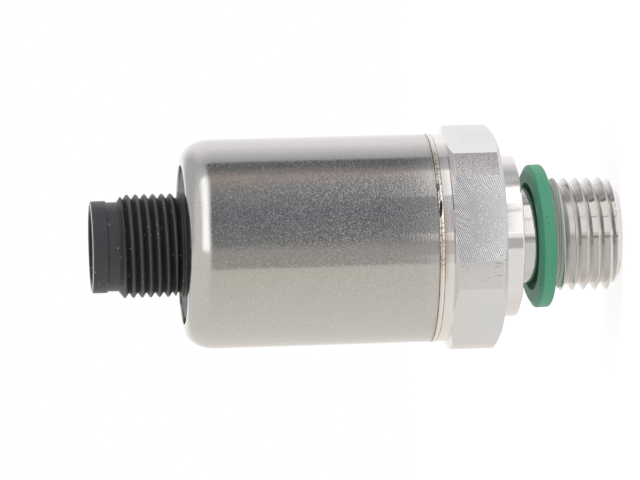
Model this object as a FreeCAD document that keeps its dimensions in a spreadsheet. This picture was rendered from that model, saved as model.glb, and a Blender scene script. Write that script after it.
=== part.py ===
import FreeCAD
import Part
import Sketcher

import os
import re

# A pressure transmitter with a G1/4 process connection, a 24 mm hexagon, a welded housing
# and a moulded M12 plug. The axis is Z: the stud points down and the plug points up. Zero
# is the collar's sealing face, where the transmitter meets the machine it is screwed into.

# Millimetres. Each size is written once, and everything else is worked out from these.
SIZES = {
    # process port, one turned and milled piece
    "stud_length": 12.0,
    "tip_diameter": 10.3,
    "tip_chamfer": 0.4,
    "thread_diameter": 13.157,
    "thread_lead": 0.65,
    "neck_diameter": 11.1,
    "neck_length": 4.1,
    "thread_relief": 0.55,
    "pressure_bore": 5.0,
    "collar_diameter": 18.7,
    "collar_height": 2.3,
    "collar_edge": 0.2,
    "spanner_width": 24.0,
    "corner_rise": 1.0,
    "hexagon_height": 6.0,
    "base_inset": 0.1,
    "lower_chamfer": 0.6,
    "upper_chamfer": 0.36,
    "flat_runout": 0.5,
    "spigot_height": 1.26,
    "pilot_height": 2.5,
    "pilot_clearance": 0.05,
    "pilot_wall": 1.9,
    "pocket_floor": 5.0,
    # loose profile ring on the neck
    "ring_inner_diameter": 12.4,
    "ring_outer_diameter": 16.6,
    "ring_rim_width": 1.5,
    "ring_bevel_diameter": 15.2,
    "ring_bevel_height": 0.3,
    "ring_edge_radius": 0.2,
    "ring_drop": 2.8,
    "ring_side_shift": 0.13,
    "ring_tilt_forward": 2.0,
    "ring_tilt_side": 2.3,
    # drawn housing and its weld
    "shell_overhang": 0.05,
    "shell_wall": 0.8,
    "weld_width": 0.55,
    "weld_bulge": 0.08,
    "shell_height": 28.42,
    "rim_radius": 2.85,
    "rim_land": 0.03,
    # moulded M12 plug
    "flange_clearance": 0.05,
    "flange_height": 6.0,
    "front_gap": 0.55,
    "front_recess": 0.2,
    "boss_diameter": 12.0,
    "boss_height": 0.6,
    "boss_edge": 0.25,
    "plug_thread_diameter": 11.94,
    "plug_core_diameter": 10.25,
    "plug_thread_gap": 0.25,
    "plug_thread_length": 6.7,
    "nose_groove_width": 1.4,
    "nose_diameter": 10.6,
    "nose_length": 1.8,
    "nose_edge": 0.2,
    "socket_diameter": 8.6,
    "socket_depth": 8.5,
    "key_width": 1.5,
    "key_depth": 0.7,
    "key_setback": 0.9,
    "pin_circle": 5.0,
    "pin_diameter": 1.0,
    "pin_recess": 1.6,
    "pin_taper": 0.4,
    "pin_tip_diameter": 0.5,
    "pin_shoulder_diameter": 1.8,
    "pin_shoulder_height": 0.6,
    "pin_tail": 0.8,
    "rear_wall": 0.95,
    "rear_recess_depth": 3.2,
    "seal_cord": 1.3,
    "seal_groove_width": 1.8,
    "seal_height": 2.0,
    # welded steel measuring cell
    "cell_foot_width": 1.8,
    "cell_foot_height": 1.6,
    "cell_height": 6.2,
    "cell_wall": 2.4,
    "diaphragm_thickness": 0.45,
    "gauge_length": 1.6,
    "gauge_width": 0.5,
    "gauge_thickness": 0.12,
    "gauge_inset": 0.6,
    # electronics
    "spacer_height": 2.6,
    "cell_board_width": 3.9,
    "ring_fit": 0.2,
    "spacer_clearance": 0.5,
    "board_thickness": 1.0,
    "lead_width": 0.64,
    "lead_length": 6.0,
    "lead_edge_gap": 1.2,
    "lead_pitch": 1.7,
    "board_side_gap": 0.5,
    "main_board_lift": 2.4,
    "contact_board_clearance": 0.2,
    "carrier_wall": 0.9,
    "carrier_clearance": 0.1,
    "rib_width": 3.2,
    "slot_clearance": 0.05,
    "slot_depth": 0.6,
    "processor_width": 5.0,
    "processor_height": 0.9,
    "processor_place": 6.0,
    "driver_width": 6.5,
    "driver_depth": 3.5,
    "driver_height": 1.6,
    "driver_place": 14.0,
    "capacitor_length": 2.0,
    "capacitor_width": 1.25,
    "capacitor_pitch": 3.2,
    "capacitor_place": 6.6,
    "diode_length": 2.6,
    "diode_width": 1.6,
    "diode_height": 1.1,
    "diode_pitch": 5.0,
    "diode_place": 14.2,
}

PIN_COUNT = 4
FLAT_COUNT = 6
CAPACITOR_COUNT = 3
DIODE_COUNT = 2

# Heights on the axis and diameters that follow from the sizes, as formulas.
STUD_END = "(-stud_length)"
CORNER_DIAMETER = "(spanner_width + 2 * corner_rise)"
HEX_BASE_DIAMETER = "(spanner_width - 2 * base_inset)"
HEX_BOTTOM = "collar_height"
HEX_TOP = "(collar_height + hexagon_height)"
WELD_BOTTOM = f"({HEX_TOP} + spigot_height)"
WELD_TOP = f"({WELD_BOTTOM} + weld_width)"
PILOT_TOP = f"({WELD_BOTTOM} + pilot_height)"
SHELL_DIAMETER = "(spanner_width + 2 * shell_overhang)"
SHELL_INNER = f"({SHELL_DIAMETER} - 2 * shell_wall)"
PILOT_DIAMETER = f"({SHELL_INNER} - 2 * pilot_clearance)"
POCKET_DIAMETER = f"({PILOT_DIAMETER} - 2 * pilot_wall)"
OPENING_DIAMETER = f"({SHELL_DIAMETER} - 2 * (rim_radius + rim_land))"
CROWN = f"({WELD_TOP} + shell_height)"
FLANGE_TOP = f"({CROWN} - shell_wall)"
FLANGE_BOTTOM = f"({FLANGE_TOP} - flange_height)"
FLANGE_DIAMETER = f"({SHELL_INNER} - 2 * flange_clearance)"
FRONT_FACE = f"({CROWN} - front_recess)"
FRONT_DIAMETER = f"({OPENING_DIAMETER} - 2 * front_gap)"
BOSS_TOP = f"({FRONT_FACE} + boss_height)"
PLUG_THREAD_BOTTOM = f"({BOSS_TOP} + plug_thread_gap)"
PLUG_THREAD_TOP = f"({PLUG_THREAD_BOTTOM} + plug_thread_length)"
NOSE_BOTTOM = f"({PLUG_THREAD_TOP} + nose_groove_width)"
NOSE_TOP = f"({NOSE_BOTTOM} + nose_length)"
SOCKET_FLOOR = f"({NOSE_TOP} - socket_depth)"
SEAL_HEIGHT = f"({FLANGE_BOTTOM} + seal_height)"
SEAL_GROOVE_DIAMETER = f"({SHELL_INNER} - 2 * seal_cord)"
REAR_RECESS_DIAMETER = f"({SEAL_GROOVE_DIAMETER} - 2 * rear_wall)"
REAR_CEILING = f"({FLANGE_BOTTOM} + rear_recess_depth)"
CONTACT_BOARD_TOP = f"({REAR_CEILING} - pin_shoulder_height)"
CONTACT_BOARD_BOTTOM = f"({CONTACT_BOARD_TOP} - board_thickness)"
CONTACT_BOARD_DIAMETER = f"({REAR_RECESS_DIAMETER} - 2 * contact_board_clearance)"
MAIN_BOARD_WIDTH = f"({CONTACT_BOARD_DIAMETER} - 2 * board_side_gap)"
PIN_PLACE = "(pin_circle * 0.5 ^ 0.5 / 2)"
FOOT_TOP = "(pocket_floor + cell_foot_height)"
CELL_TOP = "(pocket_floor + cell_height)"
CELL_BOARD_BOTTOM = f"({FOOT_TOP} + spacer_height)"
CELL_BOARD_TOP = f"({CELL_BOARD_BOTTOM} + board_thickness)"
SPACER_DIAMETER = f"({POCKET_DIAMETER} - 2 * spacer_clearance)"
RING_HOLE = f"({SPACER_DIAMETER} - 2 * cell_board_width)"
CELL_DIAMETER = f"({RING_HOLE} - 2 * ring_fit)"
CELL_FOOT_DIAMETER = f"({CELL_DIAMETER} + 2 * cell_foot_width)"
CELL_BORE = f"({CELL_DIAMETER} - 2 * cell_wall)"
MAIN_BOARD_BOTTOM = f"({CELL_BOARD_TOP} + main_board_lift)"

doc = FreeCAD.newDocument("pressure_transmitter")
sheet = doc.addObject("Spreadsheet::Sheet", "Sizes")
pieces = []


def fill_sheet():
    """Writes each size into the sheet, with its name beside it and as its alias."""
    for row, (alias, number) in enumerate(SIZES.items(), start=1):
        sheet.set(f"A{row}", alias)
        sheet.set(f"B{row}", str(number))
        sheet.setAlias(f"B{row}", alias)
    doc.recompute()


def bound(formula):
    """A formula of named sizes as an expression on the sheet."""
    return re.sub(r"[a-z]\w+", r"Sizes.\g<0>", str(formula))


def value(formula):
    """What a formula of named sizes comes to now, in millimetres."""
    return float(sheet.evalExpression(bound(formula)))


def bind(feature, **formulas):
    """Binds properties of a feature to formulas. Two underscores stand for a point."""
    for prop, formula in formulas.items():
        feature.setExpression(prop.replace("__", "."), bound(formula))


def body(name):
    """An empty body, which is one physical piece of the transmitter."""
    made = doc.addObject("PartDesign::Body", name)
    made.Label = name
    pieces.append(made)
    return made


def sketch_on(owner, role, name, offset="0"):
    """A sketch on one of a body's own origin planes, lifted off it by a formula."""
    made = owner.newObject("Sketcher::SketchObject", name)
    plane = next(f for f in owner.Origin.OriginFeatures if f.Role == role)
    made.AttachmentSupport = [(plane, "")]
    made.MapMode = "FlatFace"
    bind(made, AttachmentOffset__Base__z=offset)
    return made


def fix_point(sketch, geometry, point, across, up):
    """Pins one point of a sketch to its formulas, measured from the sketch's origin."""
    for kind, formula in (("DistanceX", across), ("DistanceY", up)):
        rule = Sketcher.Constraint(kind, -1, 1, geometry, point, value(formula))
        place = sketch.addConstraint(rule)
        sketch.setExpression(f"Constraints[{place}]", bound(formula))


def outline(sketch, corners):
    """Draws a closed outline of straight edges through (across, up) formulas."""
    spots = [FreeCAD.Vector(value(across), value(up), 0) for across, up in corners]
    for start, end in zip(spots, spots[1:] + spots[:1]):
        sketch.addGeometry(Part.LineSegment(start, end))
    for number, (across, up) in enumerate(corners):
        before = (number - 1) % len(corners)
        sketch.addConstraint(Sketcher.Constraint("Coincident", before, 2, number, 1))
        fix_point(sketch, number, 1, across, up)


def circle(sketch, diameter, across="0", up="0"):
    """Draws one circle of the given diameter."""
    centre = FreeCAD.Vector(value(across), value(up), 0)
    drawn = sketch.addGeometry(Part.Circle(centre, FreeCAD.Vector(0, 0, 1), value(diameter) / 2))
    place = sketch.addConstraint(Sketcher.Constraint("Diameter", drawn, value(diameter)))
    sketch.setExpression(f"Constraints[{place}]", bound(diameter))
    fix_point(sketch, drawn, 3, across, up)


def turned(name, corners):
    """A piece turned about Z from an outline of (diameter, height) formulas."""
    made = body(name)
    sketch = sketch_on(made, "XZ_Plane", f"{name}_outline")
    outline(sketch, [(f"({diameter}) / 2", height) for diameter, height in corners])
    turning = made.newObject("PartDesign::Revolution", f"{name}_turning")
    turning.Profile = sketch
    turning.ReferenceAxis = (sketch, ["V_Axis"])
    turning.Angle = 360
    doc.recompute()
    return made


def round_edges(feature):
    """The names and shapes of a feature's full circular edges."""
    for number, edge in enumerate(feature.Shape.Edges, start=1):
        if isinstance(edge.Curve, Part.Circle) and edge.isClosed():
            yield f"Edge{number}", edge


def rim(feature, diameter, height):
    """The name of the circular edge with this diameter at this height."""
    wanted = (value(diameter) / 2, value(height))
    return min(
        round_edges(feature),
        key=lambda item: abs(item[1].Curve.Radius - wanted[0])
        + abs(item[1].Curve.Center.z - wanted[1]),
    )[0]


def rounded(made, name, radius, *rims):
    """Rounds circular edges, each given as (diameter, height) formulas."""
    base = made.Tip
    fillet = made.newObject("PartDesign::Fillet", name)
    fillet.Base = (base, [rim(base, diameter, height) for diameter, height in rims])
    bind(fillet, Radius=radius)
    doc.recompute()


def polar_copies(made, feature, count):
    """Repeats a feature round the Z axis and makes the pattern the body's tip."""
    pattern = made.newObject("PartDesign::PolarPattern", f"{feature.Name}_copies")
    pattern.Originals = [feature]
    axis = next(f for f in made.Origin.OriginFeatures if f.Role == "Z_Axis")
    pattern.Axis = (axis, [""])
    pattern.Angle = 360
    pattern.Occurrences = count
    made.Tip = pattern
    doc.recompute()


def cut_down(made, sketch, name, depth):
    """Cuts a sketch's area downwards, into the body, by a depth."""
    before = made.Tip.Shape.Volume
    pocket = made.newObject("PartDesign::Pocket", name)
    pocket.Profile = sketch
    bind(pocket, Length=depth)
    doc.recompute()
    if pocket.Shape.Volume >= before:
        raise RuntimeError(f"{name} cuts nothing")
    return pocket


def block(name, width, depth, height, left, front, bottom):
    """A rectangular piece, by its three sizes and its lowest corner."""
    made = doc.addObject("Part::Box", name)
    made.Label = name
    bind(made, Length=width, Width=depth, Height=height)
    bind(made, Placement__Base__x=left, Placement__Base__y=front, Placement__Base__z=bottom)
    pieces.append(made)
    return made


def process_port():
    """Stud, neck, collar, hexagon, spigot and pilot in one, bored for the pressure."""
    made = turned("process_port", [
        ("pressure_bore", STUD_END),
        ("tip_diameter", STUD_END),
        ("tip_diameter + 2 * tip_chamfer", f"{STUD_END} + tip_chamfer"),
        ("thread_diameter", f"{STUD_END} + tip_chamfer + thread_lead"),
        ("thread_diameter", "-neck_length - thread_relief"),
        ("neck_diameter", "-neck_length"),
        ("neck_diameter", "0"),
        ("collar_diameter - 2 * collar_edge", "0"),
        ("collar_diameter", "collar_edge"),
        ("collar_diameter", HEX_BOTTOM),
        (HEX_BASE_DIAMETER, HEX_BOTTOM),
        (CORNER_DIAMETER, f"{HEX_BOTTOM} + lower_chamfer"),
        (CORNER_DIAMETER, f"{HEX_TOP} - upper_chamfer"),
        (SHELL_DIAMETER, HEX_TOP),
        (SHELL_DIAMETER, WELD_BOTTOM),
        (PILOT_DIAMETER, WELD_BOTTOM),
        (PILOT_DIAMETER, PILOT_TOP),
        (POCKET_DIAMETER, PILOT_TOP),
        (POCKET_DIAMETER, "pocket_floor"),
        ("pressure_bore", "pocket_floor"),
    ])
    flat = sketch_on(made, "XY_Plane", "flat_area", f"{HEX_TOP} + flat_runout")
    near = "-spanner_width / 2"
    far = f"-{CORNER_DIAMETER}"
    side = f"{CORNER_DIAMETER} / 2"
    outline(flat, [
        (f"-{side}", far), (side, far), (side, near), (f"-{side}", near),
    ])
    milled = cut_down(made, flat, "spanner_flat", "hexagon_height + flat_runout")
    polar_copies(made, milled, FLAT_COUNT)


def sealing_ring():
    """Elastomer profile ring, loose on the neck and tilted a little."""
    middle = "ring_rim_width / 2"
    made = turned("sealing_ring", [
        ("ring_inner_diameter", f"-{middle}"),
        ("ring_outer_diameter", f"-{middle}"),
        ("ring_outer_diameter", middle),
        ("ring_bevel_diameter", f"{middle} + ring_bevel_height"),
        ("ring_inner_diameter", f"{middle} + ring_bevel_height"),
    ])
    rounded(
        made, "ring_edges", "ring_edge_radius",
        ("ring_outer_diameter", f"-{middle}"), ("ring_outer_diameter", middle),
    )
    lean = FreeCAD.Rotation(FreeCAD.Vector(0, 1, 0), -value("ring_tilt_side"))
    nod = FreeCAD.Rotation(FreeCAD.Vector(1, 0, 0), value("ring_tilt_forward"))
    made.Placement = FreeCAD.Placement(FreeCAD.Vector(0, 0, 0), lean.multiply(nod))
    bind(made, Placement__Base__x="-ring_side_shift", Placement__Base__z="-ring_drop")


def housing_shell():
    """Drawn steel cup, open below, whose top edge is rolled in round the plug."""
    made = turned("housing_shell", [
        (SHELL_INNER, WELD_TOP),
        (SHELL_DIAMETER, WELD_TOP),
        (SHELL_DIAMETER, CROWN),
        (OPENING_DIAMETER, CROWN),
        (OPENING_DIAMETER, FLANGE_TOP),
        (SHELL_INNER, FLANGE_TOP),
    ])
    rounded(made, "outer_roll", "rim_radius", (SHELL_DIAMETER, CROWN))
    rounded(made, "inner_roll", "rim_radius - shell_wall", (SHELL_INNER, FLANGE_TOP))


def weld_bead():
    """Fused ring that joins the housing's lower edge to the port's spigot."""
    turned("weld_bead", [
        (PILOT_DIAMETER, WELD_BOTTOM),
        (SHELL_DIAMETER, WELD_BOTTOM),
        (f"{SHELL_DIAMETER} + 2 * weld_bulge", f"{WELD_BOTTOM} + weld_width / 3"),
        (f"{SHELL_DIAMETER} + 2 * weld_bulge", f"{WELD_BOTTOM} + 2 * weld_width / 3"),
        (SHELL_DIAMETER, WELD_TOP),
        (PILOT_DIAMETER, WELD_TOP),
    ])


def connector_body():
    """Moulded plug: flange under the rolled edge, boss, thread, nose and keyed socket."""
    groove_low = f"{SEAL_HEIGHT} - seal_groove_width / 2"
    groove_high = f"{SEAL_HEIGHT} + seal_groove_width / 2"
    made = turned("connector_body", [
        ("0", REAR_CEILING),
        (REAR_RECESS_DIAMETER, REAR_CEILING),
        (REAR_RECESS_DIAMETER, FLANGE_BOTTOM),
        (FLANGE_DIAMETER, FLANGE_BOTTOM),
        (FLANGE_DIAMETER, groove_low),
        (SEAL_GROOVE_DIAMETER, groove_low),
        (SEAL_GROOVE_DIAMETER, groove_high),
        (FLANGE_DIAMETER, groove_high),
        (FLANGE_DIAMETER, FLANGE_TOP),
        (FRONT_DIAMETER, FLANGE_TOP),
        (FRONT_DIAMETER, FRONT_FACE),
        ("boss_diameter + 2 * boss_edge", FRONT_FACE),
        ("boss_diameter", f"{FRONT_FACE} + boss_edge"),
        ("boss_diameter", f"{BOSS_TOP} - boss_edge"),
        ("boss_diameter - 2 * boss_edge", BOSS_TOP),
        ("plug_core_diameter + 2 * boss_edge", BOSS_TOP),
        ("plug_thread_diameter", PLUG_THREAD_BOTTOM),
        ("plug_thread_diameter", PLUG_THREAD_TOP),
        ("plug_core_diameter", f"{PLUG_THREAD_TOP} + boss_edge"),
        ("plug_core_diameter", NOSE_BOTTOM),
        ("nose_diameter", NOSE_BOTTOM),
        ("nose_diameter", f"{NOSE_TOP} - nose_edge"),
        ("nose_diameter - 2 * nose_edge", NOSE_TOP),
        ("socket_diameter", NOSE_TOP),
        ("socket_diameter", SOCKET_FLOOR),
        ("0", SOCKET_FLOOR),
    ])
    rounded(
        made, "flange_shoulder", "rim_radius - shell_wall - flange_clearance",
        (FLANGE_DIAMETER, FLANGE_TOP),
    )
    key = sketch_on(made, "XY_Plane", "key_area", f"{NOSE_TOP} - key_setback")
    wall = "-(socket_diameter + plug_core_diameter) / 4"
    tip = "key_depth - socket_diameter / 2"
    outline(key, [
        (wall, "-key_width / 2"),
        (tip, "-key_width / 2"),
        (tip, "key_width / 2"),
        (wall, "key_width / 2"),
    ])
    rail = made.newObject("PartDesign::Pad", "coding_key")
    rail.Profile = key
    rail.Reversed = True
    bind(rail, Length="socket_depth - key_setback")
    doc.recompute()
    hole = sketch_on(made, "XY_Plane", "pin_hole_area", SOCKET_FLOOR)
    circle(hole, "pin_diameter", PIN_PLACE, PIN_PLACE)
    bored = cut_down(made, hole, "pin_hole", f"{SOCKET_FLOOR} - {REAR_CEILING}")
    polar_copies(made, bored, PIN_COUNT)


def contact_pins():
    """Turned pins, pressed through the plug, with a shoulder behind and a tail to solder."""
    tip = f"{NOSE_TOP} - pin_recess"
    tail = f"{CONTACT_BOARD_BOTTOM} - pin_tail"
    for number, (side, front) in enumerate(((1, 1), (-1, 1), (-1, -1), (1, -1)), start=1):
        made = turned(f"contact_pin_{number}", [
            ("0", tail),
            ("pin_diameter", tail),
            ("pin_diameter", CONTACT_BOARD_TOP),
            ("pin_shoulder_diameter", CONTACT_BOARD_TOP),
            ("pin_shoulder_diameter", REAR_CEILING),
            ("pin_diameter", REAR_CEILING),
            ("pin_diameter", f"{tip} - pin_taper"),
            ("pin_tip_diameter", tip),
            ("0", tip),
        ])
        bind(
            made,
            Placement__Base__x=f"{side} * {PIN_PLACE}",
            Placement__Base__y=f"{front} * {PIN_PLACE}",
        )


def connector_seal():
    """O-ring in the flange's groove, touching the groove's floor and the housing."""
    made = doc.addObject("Part::Torus", "connector_seal")
    made.Label = "connector_seal"
    bind(made, Radius1=f"({SHELL_INNER} - seal_cord) / 2", Radius2="seal_cord / 2")
    bind(made, Placement__Base__z=SEAL_HEIGHT)
    pieces.append(made)


def measuring_cell():
    """Steel cup welded over the pressure bore, with a thin diaphragm as its roof."""
    turned("measuring_cell", [
        (CELL_BORE, "pocket_floor"),
        (CELL_FOOT_DIAMETER, "pocket_floor"),
        (CELL_FOOT_DIAMETER, FOOT_TOP),
        (CELL_DIAMETER, FOOT_TOP),
        (CELL_DIAMETER, CELL_TOP),
        ("0", CELL_TOP),
        ("0", f"{CELL_TOP} - diaphragm_thickness"),
        (CELL_BORE, f"{CELL_TOP} - diaphragm_thickness"),
    ])


def strain_gauges():
    """Two silicon strain gauges, bonded to the diaphragm's edge on either side."""
    for name, side in (("strain_gauge_1", -1), ("strain_gauge_2", 1)):
        block(
            name, "gauge_width", "gauge_length", "gauge_thickness",
            f"{side} * ({CELL_BORE} / 2 - gauge_inset) - gauge_width / 2",
            "-gauge_length / 2", CELL_TOP,
        )


def flat_ring(name, outer, bottom, top):
    """A flat ring that slips over the measuring cell."""
    turned(name, [(RING_HOLE, bottom), (outer, bottom), (outer, top), (RING_HOLE, top)])


def main_board():
    """Upright board whose face is on the axis plane, with its leads and components."""
    face = "-board_thickness / 2"
    rear_face = "board_thickness / 2"
    block(
        "main_board", MAIN_BOARD_WIDTH, "board_thickness",
        f"{CONTACT_BOARD_BOTTOM} - {MAIN_BOARD_BOTTOM}",
        f"-{MAIN_BOARD_WIDTH} / 2", face, MAIN_BOARD_BOTTOM,
    )
    outer = f"({MAIN_BOARD_WIDTH} / 2 - lead_edge_gap)"
    places = [f"-{outer}", f"lead_pitch - {outer}", f"{outer} - lead_pitch", outer]
    for number, place in enumerate(places, start=1):
        block(
            f"link_lead_{number}", "lead_width", "lead_width", "lead_length",
            f"{place} - lead_width / 2", f"{face} - lead_width", CELL_BOARD_TOP,
        )
    block(
        "signal_processor", "processor_width", "processor_height", "processor_width",
        "-processor_width / 2", f"{face} - processor_height",
        f"{MAIN_BOARD_BOTTOM} + processor_place - processor_width / 2",
    )
    block(
        "current_driver", "driver_width", "driver_height", "driver_depth",
        "-driver_width / 2", f"{face} - driver_height",
        f"{MAIN_BOARD_BOTTOM} + driver_place - driver_depth / 2",
    )
    for number in range(CAPACITOR_COUNT):
        step = number - (CAPACITOR_COUNT - 1) / 2
        block(
            f"filter_capacitor_{number + 1}",
            "capacitor_width", "capacitor_width", "capacitor_length",
            f"{step} * capacitor_pitch - capacitor_width / 2", rear_face,
            f"{MAIN_BOARD_BOTTOM} + capacitor_place - capacitor_length / 2",
        )
    for number in range(DIODE_COUNT):
        step = number - (DIODE_COUNT - 1) / 2
        block(
            f"protection_diode_{number + 1}", "diode_length", "diode_height", "diode_width",
            f"{step} * diode_pitch - diode_length / 2", rear_face,
            f"{MAIN_BOARD_BOTTOM} + diode_place - diode_width / 2",
        )


def contact_board():
    """Round board that the contact pins' shoulders stand on and their tails pass through."""
    made = turned("contact_board", [
        ("0", CONTACT_BOARD_BOTTOM),
        (CONTACT_BOARD_DIAMETER, CONTACT_BOARD_BOTTOM),
        (CONTACT_BOARD_DIAMETER, CONTACT_BOARD_TOP),
        ("0", CONTACT_BOARD_TOP),
    ])
    hole = sketch_on(made, "XY_Plane", "tail_hole_area", CONTACT_BOARD_TOP)
    circle(hole, "pin_diameter", PIN_PLACE, PIN_PLACE)
    polar_copies(made, cut_down(made, hole, "tail_hole", "board_thickness"), PIN_COUNT)


def board_carrier():
    """Insulating sleeve from the port to the plug, with two ribs slotted for the board."""
    outer = f"({SHELL_INNER} - 2 * carrier_clearance)"
    inner = f"({outer} - 2 * carrier_wall)"
    made = turned("board_carrier", [
        (inner, PILOT_TOP), (outer, PILOT_TOP), (outer, FLANGE_BOTTOM), (inner, FLANGE_BOTTOM),
    ])
    area = sketch_on(made, "XY_Plane", "rib_area", PILOT_TOP)
    slot_floor = f"{MAIN_BOARD_WIDTH} / 2 + slot_clearance"
    slot_mouth = f"{slot_floor} - slot_depth"
    slot_side = "board_thickness / 2 + slot_clearance"
    root = f"{inner} / 2 + carrier_wall / 2"
    outline(area, [
        (slot_floor, f"-({slot_side})"),
        (slot_mouth, f"-({slot_side})"),
        (slot_mouth, "-rib_width / 2"),
        (root, "-rib_width / 2"),
        (root, "rib_width / 2"),
        (slot_mouth, "rib_width / 2"),
        (slot_mouth, slot_side),
        (slot_floor, slot_side),
    ])
    rib = made.newObject("PartDesign::Pad", "slotted_rib")
    rib.Profile = area
    bind(rib, Length=f"{FLANGE_BOTTOM} - {PILOT_TOP}")
    doc.recompute()
    polar_copies(made, rib, 2)


def check_and_export():
    """Stops at anything that failed to build, then writes one file for each piece."""
    doc.recompute()
    for made in doc.Objects:
        if "Invalid" in made.State or "Error" in made.State:
            raise RuntimeError(f"{made.Name} failed: {made.State}")
    for piece in pieces:
        if piece.Shape.isNull() or not piece.Shape.isValid():
            raise RuntimeError(f"{piece.Label} has no valid shape")
    os.makedirs("parts", exist_ok=True)
    for piece in pieces:
        piece.Shape.exportStep(f"parts/{piece.Label}.step")


fill_sheet()
process_port()
sealing_ring()
housing_shell()
weld_bead()
connector_body()
contact_pins()
connector_seal()
measuring_cell()
strain_gauges()
flat_ring("cell_spacer", SPACER_DIAMETER, FOOT_TOP, CELL_BOARD_BOTTOM)
flat_ring("cell_board", SPACER_DIAMETER, CELL_BOARD_BOTTOM, CELL_BOARD_TOP)
main_board()
contact_board()
board_carrier()
check_and_export()
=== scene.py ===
import math

import bmesh
import bpy
from bpy.props import FloatProperty, FloatVectorProperty, IntProperty, PointerProperty
from mathutils import Matrix, Vector


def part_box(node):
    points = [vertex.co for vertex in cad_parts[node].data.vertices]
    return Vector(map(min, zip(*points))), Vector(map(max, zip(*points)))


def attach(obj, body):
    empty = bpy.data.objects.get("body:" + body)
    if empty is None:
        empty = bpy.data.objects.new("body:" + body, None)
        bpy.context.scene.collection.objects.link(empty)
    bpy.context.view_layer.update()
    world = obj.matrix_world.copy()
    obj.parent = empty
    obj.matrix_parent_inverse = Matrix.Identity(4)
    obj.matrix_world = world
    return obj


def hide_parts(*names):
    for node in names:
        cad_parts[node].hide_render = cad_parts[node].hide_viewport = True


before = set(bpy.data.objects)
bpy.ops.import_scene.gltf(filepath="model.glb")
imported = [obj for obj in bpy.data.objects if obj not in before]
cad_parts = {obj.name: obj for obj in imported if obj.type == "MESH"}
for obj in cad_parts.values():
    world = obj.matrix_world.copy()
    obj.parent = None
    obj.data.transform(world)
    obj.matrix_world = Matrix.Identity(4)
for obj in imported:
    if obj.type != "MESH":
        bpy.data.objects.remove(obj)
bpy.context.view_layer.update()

bl_info = {
    "name": "Pressure Transmitter",
    "version": (1, 0, 0),
    "blender": (4, 5, 0),
    "location": "View3D > Sidebar > Transmitter",
    "description": "Dresses a screw-in pressure transmitter with threads, finishes and a stage",
    "category": "Object",
}

MM = 0.001
STEPS = 192            # columns round every turned piece
SHARP = math.radians(14)
BODY = "root"

PORT_LOW, PORT_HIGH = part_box("process_port")
PLUG_LOW, PLUG_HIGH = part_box("connector_body")
SHELL_LOW, SHELL_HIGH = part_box("housing_shell")
BEAD_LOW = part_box("weld_bead")[0]
STUD_END = PORT_LOW.z / MM
PILOT_TOP = PORT_HIGH.z / MM
CROWN = SHELL_HIGH.z / MM
SHELL_FOOT = SHELL_LOW.z / MM
BEAD_FOOT = BEAD_LOW.z / MM
NOSE_TOP = PLUG_HIGH.z / MM
FLANGE_FOOT = PLUG_LOW.z / MM

PORT_PHASE = 0.30      # shift of the stud's thread along its axis, as a share of its pitch
PLUG_PHASE = -0.15     # the same for the plug's thread
# Sizes of the process port, in millimetres.
STUD_TIP = 5.55        # radius where the chamfer at the stud's end starts
PILOT_STEP = 0.85      # how far the pilot and the weld's root lie inside the spigot's radius
CELL_RADIUS = 9.3      # radius of the hollow for the measuring cell
CELL_FLOOR = 5.0       # height of that hollow's floor
WORN_SIDE = -9.8       # degrees round from -Y: marks on the steel are placed from this turn

# The stage. Heights are in millimetres, turns in degrees from the camera's side.
POLISHED = 0.645       # how much of the light polished steel gives back
LAMP_REACH = 0.7       # metres from the lamps to the axis
LAMP_LIFT = 0.15       # metres that the lamps are raised above the origin
SCREEN_BOTTOM = -600.0
SCREEN_TOP = 1500.0
# Tones that polished steel shows of the screen: turn, then red, green and blue up to 255.
SIDE_TONES = (
    (-180, 215, 215, 215), (-160, 200, 195, 190), (-30, 175, 170, 160), (-10, 185, 180, 175),
    (0, 210, 205, 200), (78, 220, 220, 215), (81, 170, 170, 170), (100, 150, 150, 150),
    (130, 210, 205, 205), (180, 215, 215, 215),
)
GAP_TONES = (
    (-30, 140, 135, 130), (-10, 140, 135, 130), (0, 105, 105, 105), (30, 95, 95, 100),
    (60, 115, 115, 115), (75, 140, 130, 125), (90, 90, 90, 90),
)
# Plain finishes of the inner pieces: the start of the nodes' names, then the finish's name,
# two colours, the mottle's scale, roughness and metal.
INNER_FINISHES = {
    "contact_pin": ("contact_gold", (0.80, 0.60, 0.22), (0.74, 0.53, 0.18), 3.0, 0.2, 1.0),
    "connector_seal": ("seal_rubber", (0.02, 0.02, 0.02), (0.035, 0.035, 0.035), 2.0, 0.5, 0.0),
    "measuring_cell": ("cell_steel", (0.62, 0.61, 0.60), (0.54, 0.53, 0.52), 1.5, 0.25, 1.0),
    "strain_gauge": ("gauge_silicon", (0.07, 0.07, 0.10), (0.11, 0.10, 0.15), 4.0, 0.15, 0.0),
    "cell_spacer": ("spacer_plastic", (0.55, 0.52, 0.44), (0.48, 0.45, 0.38), 1.2, 0.45, 0.0),
    "board_carrier": ("carrier_plastic", (0.05, 0.05, 0.055), (0.08, 0.08, 0.08), 1.2, 0.45, 0.0),
    "link_lead": ("lead_tin", (0.72, 0.72, 0.70), (0.62, 0.62, 0.60), 3.0, 0.3, 1.0),
    "filter_capacitor": (
        "capacitor_ceramic", (0.45, 0.31, 0.19), (0.38, 0.25, 0.15), 3.0, 0.4, 0.0),
    "signal_processor": (
        "chip_black", (0.018, 0.018, 0.018), (0.03, 0.03, 0.03), 5.0, 0.5, 0.0),
}


# ---- settings

def length(name, description, millimetres, **limits):
    """A size that a user can change, kept in metres."""
    return FloatProperty(
        name=name, description=description, default=millimetres * MM, unit="LENGTH",
        precision=5, **limits
    )


def colour(name, description, red, green, blue):
    """A colour that a user can change, in linear light."""
    return FloatVectorProperty(
        name=name, description=description, default=(red, green, blue),
        subtype="COLOR", size=3, min=0.0, max=1.0
    )


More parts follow.
